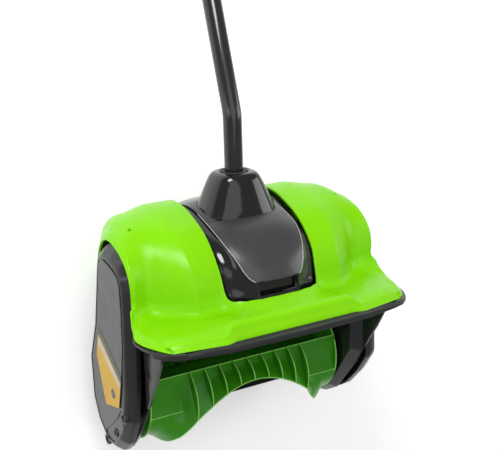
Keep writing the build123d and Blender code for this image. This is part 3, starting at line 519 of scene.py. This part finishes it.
def motor_skin():
    columns = []
    for share in (0.0, 0.5, 0.86, 0.965):
        columns.append([(e[0] * share, c[0] + (e[1] - c[0]) * share ** 3,
                         c[1] + (e[2] - c[1]) * share ** 3) for c, e, w in MOTOR_ROWS])
    columns.append([e for c, e, w in MOTOR_ROWS])
    for share, dip in ((0.035, 1.3), (0.11, 2.9), (0.5, 3.2), (1.0, 0.6)):
        columns.append([(e[0] + (w[0] - e[0]) * share, e[1] + (w[1] - e[1]) * share,
                         e[2] + (w[2] - e[2]) * share - dip) for c, e, w in MOTOR_ROWS])
    columns.append([(w[0] + 0.1, w[1] + 3, w[2] - 9) for c, e, w in MOTOR_ROWS])
    right = np.array(columns, float)
    left = right[:0:-1] * np.array([-1, 1, 1])
    net = np.concatenate([left, right])
    net = np.swapaxes(refine(np.swapaxes(refine(net, 4), 0, 1), 5), 0, 1)
    obj = clean(mesh_piece("motor_cover_skin", net.reshape(-1, 3), grid_faces(*net.shape[:2])))
    modifier(obj, "SOLIDIFY", thickness=MOTOR_WALL, offset=-1)
    apply_modifiers(obj)
    recess = rounded([(-28.5, 159), (28.5, 159), (28.5, 175.6), (-28.5, 175.6)], 2)
    collar_hole = rings("collar_hole", [oval(z, 50, 38) for z in (225, 262)])
    cut(obj, [prism("recess", recess, -170, -146, "Y"), collar_hole])
    return soft_edges(obj, 0.0007, 35, 3)


def oval(z, half_x, half_y, steps=96):
    """Squarish ring round the tube's axis."""
    ring = []
    for k in range(steps):
        a = 2 * math.pi * k / steps
        c, s = math.cos(a), math.sin(a)
        ring.append((half_x * math.copysign(abs(c) ** (2 / COLLAR_POWER), c),
                     TUBE_Y + half_y * math.copysign(abs(s) ** (2 / COLLAR_POWER), s), z))
    return ring


def collar():
    levels = []
    for z, half_x, half_y in COLLAR_RINGS:
        ring = np.array(oval(z, half_x, half_y))
        if half_x < 24.6:
            ring = np.array(circle_ring((0, TUBE_Y, z), half_x, "Z", 96))
        levels.append(ring)
    levels = refine(np.array(levels), 4)
    obj = rings("collar_skin", levels, False, False)
    modifier(obj, "SOLIDIFY", thickness=COLLAR_WALL, offset=-1)
    return apply_modifiers(obj)


PANEL_EDGE = sorted((e[2], e[0]) for _, e, _ in MOTOR_ROWS)     # height, half width
PANEL_BACK_Y, PANEL_FOOT_Z = -79.0, 177.3


def on_panel(point):
    """Whether a point of the motor cover lies on its raised front panel."""
    heights, widths = zip(*PANEL_EDGE)
    if point.y >= PANEL_BACK_Y or point.z <= PANEL_FOOT_Z:
        return False
    return abs(point.x) < np.interp(point.z, heights, widths) + 0.2


def split_faces(obj, name, test):
    """Move the faces that pass a test on their middle to an object of their own."""
    other = bpy.data.objects.new(name, obj.data.copy())
    bpy.context.scene.collection.objects.link(other)
    to_head = HEAD.inverted()
    for piece, wanted in ((obj, False), (other, True)):
        net = bmesh.new()
        net.from_mesh(piece.data)
        away = [f for f in net.faces if test(to_head @ f.calc_center_median()) != wanted]
        bmesh.ops.delete(net, geom=away, context="FACES")
        net.to_mesh(piece.data)
        net.free()
    return other


def motor_cover():
    skin = motor_skin()
    panel = split_faces(skin, "motor_cover_panel", on_panel)
    body = join("motor_cover_shell", [skin, collar()])
    dress(body, "gloss_black", replaces=["motor_cover"])
    dress(panel, "cover_panel")
    recess = rounded([(-29, 157.5), (29, 157.5), (29, 177), (-29, 177)], 2)
    wall = prism("motor_cover_recess", recess, -149, -147, "Y")
    dress(soft_edges(wall), "gloss_black")
    # Thin light grey tubes along the panel's sides: a painted highlight line on the panel edges.
    lines = []
    for side in (-1, 1):
        edge = [(side * (e[0] + 0.3), e[1], e[2] - 0.2) for _, e, _ in MOTOR_ROWS[4:12]]
        lines.append(refine(edge, 5).tolist())
    dress(beads("motor_cover_highlight_rims", lines, 0.55, HEAD), "painted_highlight_rim")


# ------------------------------------------------------------------ side covers
COVER_LOWER = [(-100, 108), (-92, 36), (-82, -9), (-60, -50), (-38, -70), (-5, -76), (30, -52),
               (47, -21), (48, 48), (20, 109)]
BELT_SEAT = ([(-32, 218), (-54, 216), (-78, 201), (-90, 184), (-94, 165), (-96, 145)]
             + COVER_LOWER + [(-10, 206)])
BELT_SHOULDER = ([(-32, 224), (-58, 223), (-84, 214), (-100, 200), (-105, 177), (-104, 150)]
                 + COVER_LOWER + [(-10, 212)])
BELT_FACE = [(-34, 211), (-58, 209), (-80, 203), (-91, 193), (-95, 176), (-94, 150), (-90, 108),
             (-81, 38), (-72, -4), (-53, -42), (-35, -60), (-8, -65), (21, -44), (36, -17),
             (37, 44), (10, 103), (-18, 200)]
RIGHT_LOWER = [(-103, 126), (-112, 112), (-113, 12), (-90, -21), (-64, -49), (-36, -67), (-5, -76),
               (30, -52), (47, -21), (48, 48), (20, 109)]
RIGHT_SEAT = ([(-32, 218), (-54, 216), (-78, 201), (-90, 184), (-94, 165)]
              + RIGHT_LOWER + [(-10, 206)])
RIGHT_SHOULDER = ([(-32, 224), (-58, 223), (-84, 214), (-100, 200), (-105, 177)]
                  + RIGHT_LOWER + [(-10, 212)])
RIGHT_FACE = [(-34, 213), (-58, 211), (-80, 205), (-92, 194), (-97, 175), (-98, 128), (-107, 106),
              (-108, 14), (-86, -17), (-61, -44), (-35, -61), (-7, -68), (24, -47), (39, -19),
              (40, 45), (13, 104), (-16, 203)]
COVER_HOLLOW = [(-62, 4), (-71, 3), (-64, -26), (-47, -47), (-28, -58), (-8, -60), (0, -52),
                (-24, -34), (-48, -14)]
COVER_CORNER = 18
SCREW_PLACES = [(-71, -4), (-4, -65)]
BOSS_PLACE = (-38, -40)


def side_span(side, near, far):
    """Lower and upper X of a stretch on one side of the head."""
    return min(side * near, side * far), max(side * near, side * far)


def side_cover(name, seat, shoulder, face, side, node):
    """Hollow cover whose outlines at the seat, the shoulder and the face are joined by levels."""
    centre = np.array((-35.0, 80.0))

    def level(x, low, high, share, grow=0.0):
        ring = np.array(low, float) * (1 - share) + np.array(high, float) * share
        out = ring - centre
        ring = ring + out / np.linalg.norm(out, axis=1, keepdims=True) * grow
        return [(side * x, y, z) for y, z in rounded([tuple(p) for p in ring], COVER_CORNER, 6)]

    inside = [level(185.9, face, face, 0, -20), level(185.9, face, face, 0, -4),
              level(183.5, shoulder, face, 0.8, -1.8), level(174.5, shoulder, face, 0, -2.6),
              level(158.6, seat, shoulder, 0, -2.4)]
    flank = [level(158.6, seat, shoulder, 0), level(168, seat, shoulder, 0.7),
             level(175, seat, shoulder, 1), level(177, shoulder, face, 0.04, 0.3),
             level(179, shoulder, face, 0.16), level(185.5, shoulder, face, 0.72, 0.6),
             level(187.3, shoulder, face, 0.92, 0.3)]
    front_face = [level(188.3, face, face, 0, -0.6), level(188.5, face, face, 0, -2.2),
                  level(188.5, face, face, 0, -3.4), level(187.9, face, face, 0, -3.9),
                  level(187.9, face, face, 0, -20)]
    obj = rings(name, inside + flank + front_face)
    front = [(-170, 130), (-170, -90), (30, -90), (30, -60), (-60, 0), (-84, 60), (-84, 130)]
    cutters = [prism("front_cut", front, *side_span(side, 150, 169.3), "X")]
    for y, z in SCREW_PLACES:
        cutters.append(rings("pocket", [circle_ring((side * x, y, z), r, "X", 32) for x, r in
                                        ((170, 5.3), (188, 5.3), (189.2, 6.4), (194, 6.4))]))
    hollow = rounded(COVER_HOLLOW, 7)
    cutters.append(prism("hollow", hollow, *side_span(side, 187.0, 194), "X"))
    cut(obj, cutters)
    dress(soft_edges(obj, 0.0006, 35), "side_black", replaces=[node])
    boss = [circle_ring((side * x, *BOSS_PLACE), r, "X", 40) for x, r in
            ((186.0, 6.5), (188.2, 6.2), (188.5, 5.8), (188.5, 4.2), (188.1, 3.9), (187.2, 3.8))]
    dress(soft_edges(rings(name + "_boss", boss)), "side_black")
    for index, (y, z) in enumerate(SCREW_PLACES):
        sleeve = [circle_ring((side * x, y, z), r, "X", 32) for x, r in
                  ((188.4, 7.6), (188.4, 5.25), (181, 5.25), (181, 7.6))]
        sleeve.append(sleeve[0])
        dress(rings("%s_sleeve_%d" % (name, index), sleeve, False, False), "side_black")


def plate_piece(name, outline, radius, inner_x, outer_x, look, replaces=()):
    """Thin plate on the left side cover."""
    obj = prism(name, rounded(outline, radius), -outer_x, -inner_x, "X")
    return dress(soft_edges(obj, 0.0003, 35), look, replaces=replaces)


def side_plates_and_labels():
    side_cover("belt_cover_shell", BELT_SEAT, BELT_SHOULDER, BELT_FACE, -1, "belt_cover")
    side_cover("side_cover_right_shell", RIGHT_SEAT, RIGHT_SHOULDER, RIGHT_FACE, 1, "side_cover_right")
    panel = [(-37, 205.5), (-62, 201.5), (-82, 195), (-89.5, 184), (-90.5, 150), (-86.5, 98),
             (-75, 48), (-62, 7), (-13, -7), (8, 58), (-3, 100), (-21, 194)]
    plate_piece("side_panel_inset", panel, 5, 187.8, 189.6, "panel_grey", ["side_panel"])
    field = [(-3, 92), (-74, 47), (-62, 7), (-14, -6), (8, 58)]
    plate_piece("label_field", field, 3, 189.5, 189.95, "label_yellow", ["label_plate"])
    stripe = [(-4.5, 97.5), (-75.5, 52.2), (-76.6, 58.6), (-6.8, 103.8)]
    plate_piece("label_stripe", stripe, 0.8, 189.5, 189.95, "side_black")
    band = [(-5.2, 88.6), (-72, 45.8), (-69.6, 37.4), (0.6, 77)]
    plate_piece("label_band", band, 1, 189.9, 190.1, "label_band")
    dot = [(-45 + 7 * math.cos(k * math.pi / 16), 21 + 7 * math.sin(k * math.pi / 16)) for k in range(32)]
    plate_piece("label_dot", dot, 0, 189.9, 190.1, "side_black")


# ------------------------------------------------------------------ rotor
ROTOR_RADIUS = 90.3
PADDLE_RADIUS = 73.0
PADDLE_START = 27.5
SCOOP_X0, SCOOP_DEEP_X, SCOOP_X1 = 87.5, 103.0, 148.0
RIB_PITCH = 21.875
ROTOR_SHEET, FIN_THICKNESS = 2.4, 2.0
CREASE_FROM_X = 101
SCOOP_HOLLOW = [(27.5, 73), (14, 66), (2, 62), (-9, 63), (-15, 67.5), (-17, 69)]
SCOOP_TIP = [(87.5, -19.3, 90.3), (97.5, -30.5, 89), (108, -39.5, 89), (113.5, -45, 87.2),
             (118.5, -50.5, 85.3), (123.5, -56, 81.2), (128, -61, 75.6), (133, -62, 71),
             (140, -56, 68.5), (148, -50, 66)]


def around(x, radius, angle):
    """Point on the rotor, the angle counted up from the front."""
    return (x, -radius * math.cos(math.radians(angle)), radius * math.sin(math.radians(angle)))


def tip_angle(x):
    return 6 - 0.0033 * x * x


def paddle_radius(angle, tip):
    share = min(max((angle - PADDLE_START) / (tip - PADDLE_START), 0), 1)
    rise = (ROTOR_RADIUS - PADDLE_RADIUS) * share ** 2
    return PADDLE_RADIUS + rise - 6 * math.sin(math.pi * share ** 0.85)


def paddle_line(x, inward):
    angles = PADDLE_START + (tip_angle(x) - PADDLE_START) * np.linspace(0, 1, 19)
    return [around(x, paddle_radius(angle, tip_angle(x)) - inward, angle) for angle in angles]


def scoop_line(x):
    """Angles and radii of the scoop at a paddle's end: a hollow, a crease, then a rounded lobe."""
    depth = min(1.0, max(0.0, (abs(x) - SCOOP_X0) / (SCOOP_DEEP_X - SCOOP_X0)))
    depth = depth * depth * (3 - 2 * depth)
    at, angles, radii = zip(*SCOOP_TIP_FINE)
    low, tip = np.interp(abs(x), at, angles), np.interp(abs(x), at, radii)
    line = []
    for angle, radius in SCOOP_HOLLOW_FINE:
        line.append((angle, paddle_radius(angle, tip_angle(SCOOP_X0)) * (1 - depth) + radius * depth))
    angle, radius = line[-1]
    for share in np.linspace(0, 1, 10)[1:]:
        bulge = 3 * depth * math.sin(math.pi * share)
        line.append((angle + (low - angle) * share, radius + (tip - radius) * share + bulge))
    return line


def scoop_points(x, inward):
    return [around(x, radius - inward, angle) for angle, radius in scoop_line(x)]


def sheet(name, stations, outer_line, thickness, space):
    """Curved plate through the outer lines at a row of stations along the axis."""
    levels = []
    for x in stations:
        outer = outer_line(x, 0)
        inner = outer_line(x, thickness)
        levels.append(outer + inner[::-1])
    return rings(name, levels, space=space)


def fin_edge(x, steps=16):
    """Outer edge of a rib, bulged between the sheet's two edges."""
    points = []
    for k in range(steps + 1):
        share = k / steps
        angle = PADDLE_START + (tip_angle(x) + 0.3 - PADDLE_START) * share
        bulge = 4.2 * math.sin(math.pi * share)
        radius = PADDLE_RADIUS + (ROTOR_RADIUS - 0.4 - PADDLE_RADIUS) * share + bulge
        points.append(around(x, radius, angle))
    return points


def fin(x, thickness, space):
    """Rib from the hub to the sheet."""
    outline = [(y, z) for _, y, z in fin_edge(x)]
    middle = (tip_angle(x) + PADDLE_START) / 2
    for offset in (-28, 28):
        outline.append(around(0, 13, middle + offset)[1:])
    return prism("fin", outline, x - thickness / 2, x + thickness / 2, "X", space)


SCOOP_HOLLOW_FINE = [tuple(p) for p in refine(SCOOP_HOLLOW[:-1], 3)] + [SCOOP_HOLLOW[-1]]
SCOOP_TIP_FINE = [tuple(p) for p in refine(SCOOP_TIP, 4)]


def rotor():
    # The rims are thin tubes in a lighter green along the edges of the ribs, sheets and discs: painted highlights.
    pieces, rims = [], []
    middle = np.linspace(-SCOOP_X0, SCOOP_X0, 61)
    for turn in (0, math.pi):
        space = HEAD @ Matrix.Rotation(turn, 4, "X")
        pieces.append(sheet("paddle", middle, paddle_line, ROTOR_SHEET, space))
        fins = [(index - 4) * RIB_PITCH for index in range(9)]
        pieces += [fin(x, FIN_THICKNESS, space) for x in fins]
        lines = [fin_edge(x) for x in fins]
        lines.append([around(x, ROTOR_RADIUS - 1.0, tip_angle(x) + 0.4) for x in middle])
        lines.append([around(x, PADDLE_RADIUS - 0.8, PADDLE_START)
                      for x in np.linspace(-147.5, 147.5, 40)])
        for side in (-1, 1):
            ends = side * np.linspace(SCOOP_X0 - 0.5, SCOOP_X1, 44)
            pieces.append(sheet("scoop", ends, scoop_points, ROTOR_SHEET, space))
            crease = len(SCOOP_HOLLOW_FINE) - 1
            deep = [(x, scoop_line(x)[crease]) for x in ends if abs(x) > CREASE_FROM_X]
            lines.append([around(x, radius - 0.3, angle) for x, (angle, radius) in deep])
            tips = [(x, scoop_line(x)[-1]) for x in ends]
            lines.append([around(x, radius - 1.0, angle + 0.4) for x, (angle, radius) in tips])
        rims.append(beads("rims", lines, 0.9, space))
    hub = [circle_ring((x, 0, 0), r, "X") for x, r in
           ((-150, 5.1), (-150, 13), (-146, 15), (146, 15), (150, 13), (150, 5.1), (-150, 5.1))]
    pieces.append(rings("hub", hub, False, False))
    for side in (-1, 1):
        disc = [(146, 14), (149.8, 14), (149.8, 67), (149, 69), (147, 69), (146, 67), (146, 14)]
        levels = [circle_ring((side * x, 0, 0), r, "X", 96) for x, r in disc]
        pieces.append(rings("disc", levels, False, False))
        ring = circle_ring((side * 148, 0, 0), 68.6, "X", 96)
        rims.append(beads("disc_highlight_rim", [ring + ring[:1]], 1.2, HEAD))
    body = join("rotor_paddles", pieces)
    soft_edges(body, 0.0004, 40)
    dress(body, "rotor_green", "rotor", ["rotor"])
    # Painted highlight: the lighter green edge tubes, as one object.
    edges = join("rotor_highlight_rims", rims)
    dress(edges, "rotor_painted_highlight", "rotor")


def join(name, pieces):
    """One object from several, in their order."""
    work = bmesh.new()
    for piece in pieces:
        work.from_mesh(piece.data)
    mesh = bpy.data.meshes.new(name)
    work.to_mesh(mesh)
    work.free()
    for piece in pieces:
        bpy.data.objects.remove(piece)
    obj = bpy.data.objects.new(name, mesh)
    bpy.context.scene.collection.objects.link(obj)
    return obj


# ------------------------------------------------------------------ camera, light, floor
CAMERA_AZIMUTH = math.radians(-29.282)
CAMERA_ELEVATION = math.radians(16.410)
CAMERA_ROLL = math.radians(-1.549)
CAMERA_OFFSET = (-36.38, -200.86, 1378.18)     # head origin seen from the camera, mm
FOCAL_PIXELS = 948.37
FRAME_WIDTH = 500       # pixels
SENSOR_WIDTH = 36       # mm
FLOOR_HALF_SIZE = 12.0  # metres


def camera():
    a, e, r = CAMERA_AZIMUTH, CAMERA_ELEVATION, CAMERA_ROLL
    forward = Vector((-math.sin(a) * math.cos(e), math.cos(a) * math.cos(e), -math.sin(e)))
    right = forward.cross(Vector((0, 0, 1))).normalized()
    up = right.cross(forward)
    right_rolled = math.cos(r) * right + math.sin(r) * up
    up_rolled = -math.sin(r) * right + math.cos(r) * up
    x, y, depth = CAMERA_OFFSET
    place = -(x * right_rolled + y * up_rolled + depth * forward)
    turn = Matrix((right_rolled, up_rolled, -forward)).transposed().to_4x4()
    data = bpy.data.cameras.new("camera")
    data.sensor_width = SENSOR_WIDTH
    data.lens = FOCAL_PIXELS * SENSOR_WIDTH / FRAME_WIDTH
    data.clip_end = 50
    obj = bpy.data.objects.new("camera", data)
    bpy.context.scene.collection.objects.link(obj)
    pose = HEAD @ Matrix.Translation(place) @ turn
    location, rotation, _ = pose.decompose()
    obj.matrix_world = Matrix.LocRotScale(location, rotation, None)
    bpy.context.scene.camera = obj


LIGHT_TARGET = (0, -60, 120)


def area_light(name, place, size, power):
    """Rectangular light, at a place in the head frame, aimed at the middle of the head."""
    data = bpy.data.lights.new(name, "AREA")
    data.shape = "RECTANGLE"
    data.size, data.size_y = size
    data.energy = power
    obj = bpy.data.objects.new(name, data)
    obj.location = HEAD @ Vector(place)
    aim = (HEAD @ Vector(LIGHT_TARGET)) - obj.location
    obj.rotation_euler = aim.to_track_quat("-Z", "Y").to_euler()
    bpy.context.scene.collection.objects.link(obj)


def studio():
    world = bpy.data.worlds.new("studio")
    world.use_nodes = True
    background = world.node_tree.nodes["Background"]
    background.inputs["Color"].default_value = (1, 1, 1, 1)
    background.inputs["Strength"].default_value = 0.4
    bpy.context.scene.world = world
    area_light("key_light", (-450, -800, 1350), (0.5, 0.5), 13)
    area_light("side_light", (1300, -700, 500), (0.5, 1.0), 5)
    area_light("left_light", (-1400, -500, 500), (0.3, 1.2), 2.5)
    area_light("front_light", (-300, -1700, 700), (1.4, 1.4), 7.5)
    floor_material, tree, shader = new_material("floor_white", (0.86, 0.86, 0.86), 0.7)
    tone = noise(tree, 3.0, 3.0)
    vary_colour(tree, shader, tone.outputs["Fac"], (0.85, 0.85, 0.85), (0.87, 0.87, 0.87))
    shader.inputs["Emission Color"].default_value = (1, 1, 1, 1)
    shader.inputs["Emission Strength"].default_value = 0.35
    low = cad_box[0][2]
    corners = [(x * FLOOR_HALF_SIZE, y * FLOOR_HALF_SIZE, low)
               for x, y in ((-1, -1), (1, -1), (1, 1), (-1, 1))]
    mesh = bpy.data.meshes.new("floor")
    mesh.from_pydata(corners, [], [(0, 1, 2, 3)])
    floor = bpy.data.objects.new("floor", mesh)
    mesh.materials.append(floor_material)
    bpy.context.scene.collection.objects.link(floor)


camera()
studio()
dress_nodes()
top_cover()
motor_cover()
side_plates_and_labels()
rotor()
bpy.context.scene.view_settings.view_transform = "Standard"
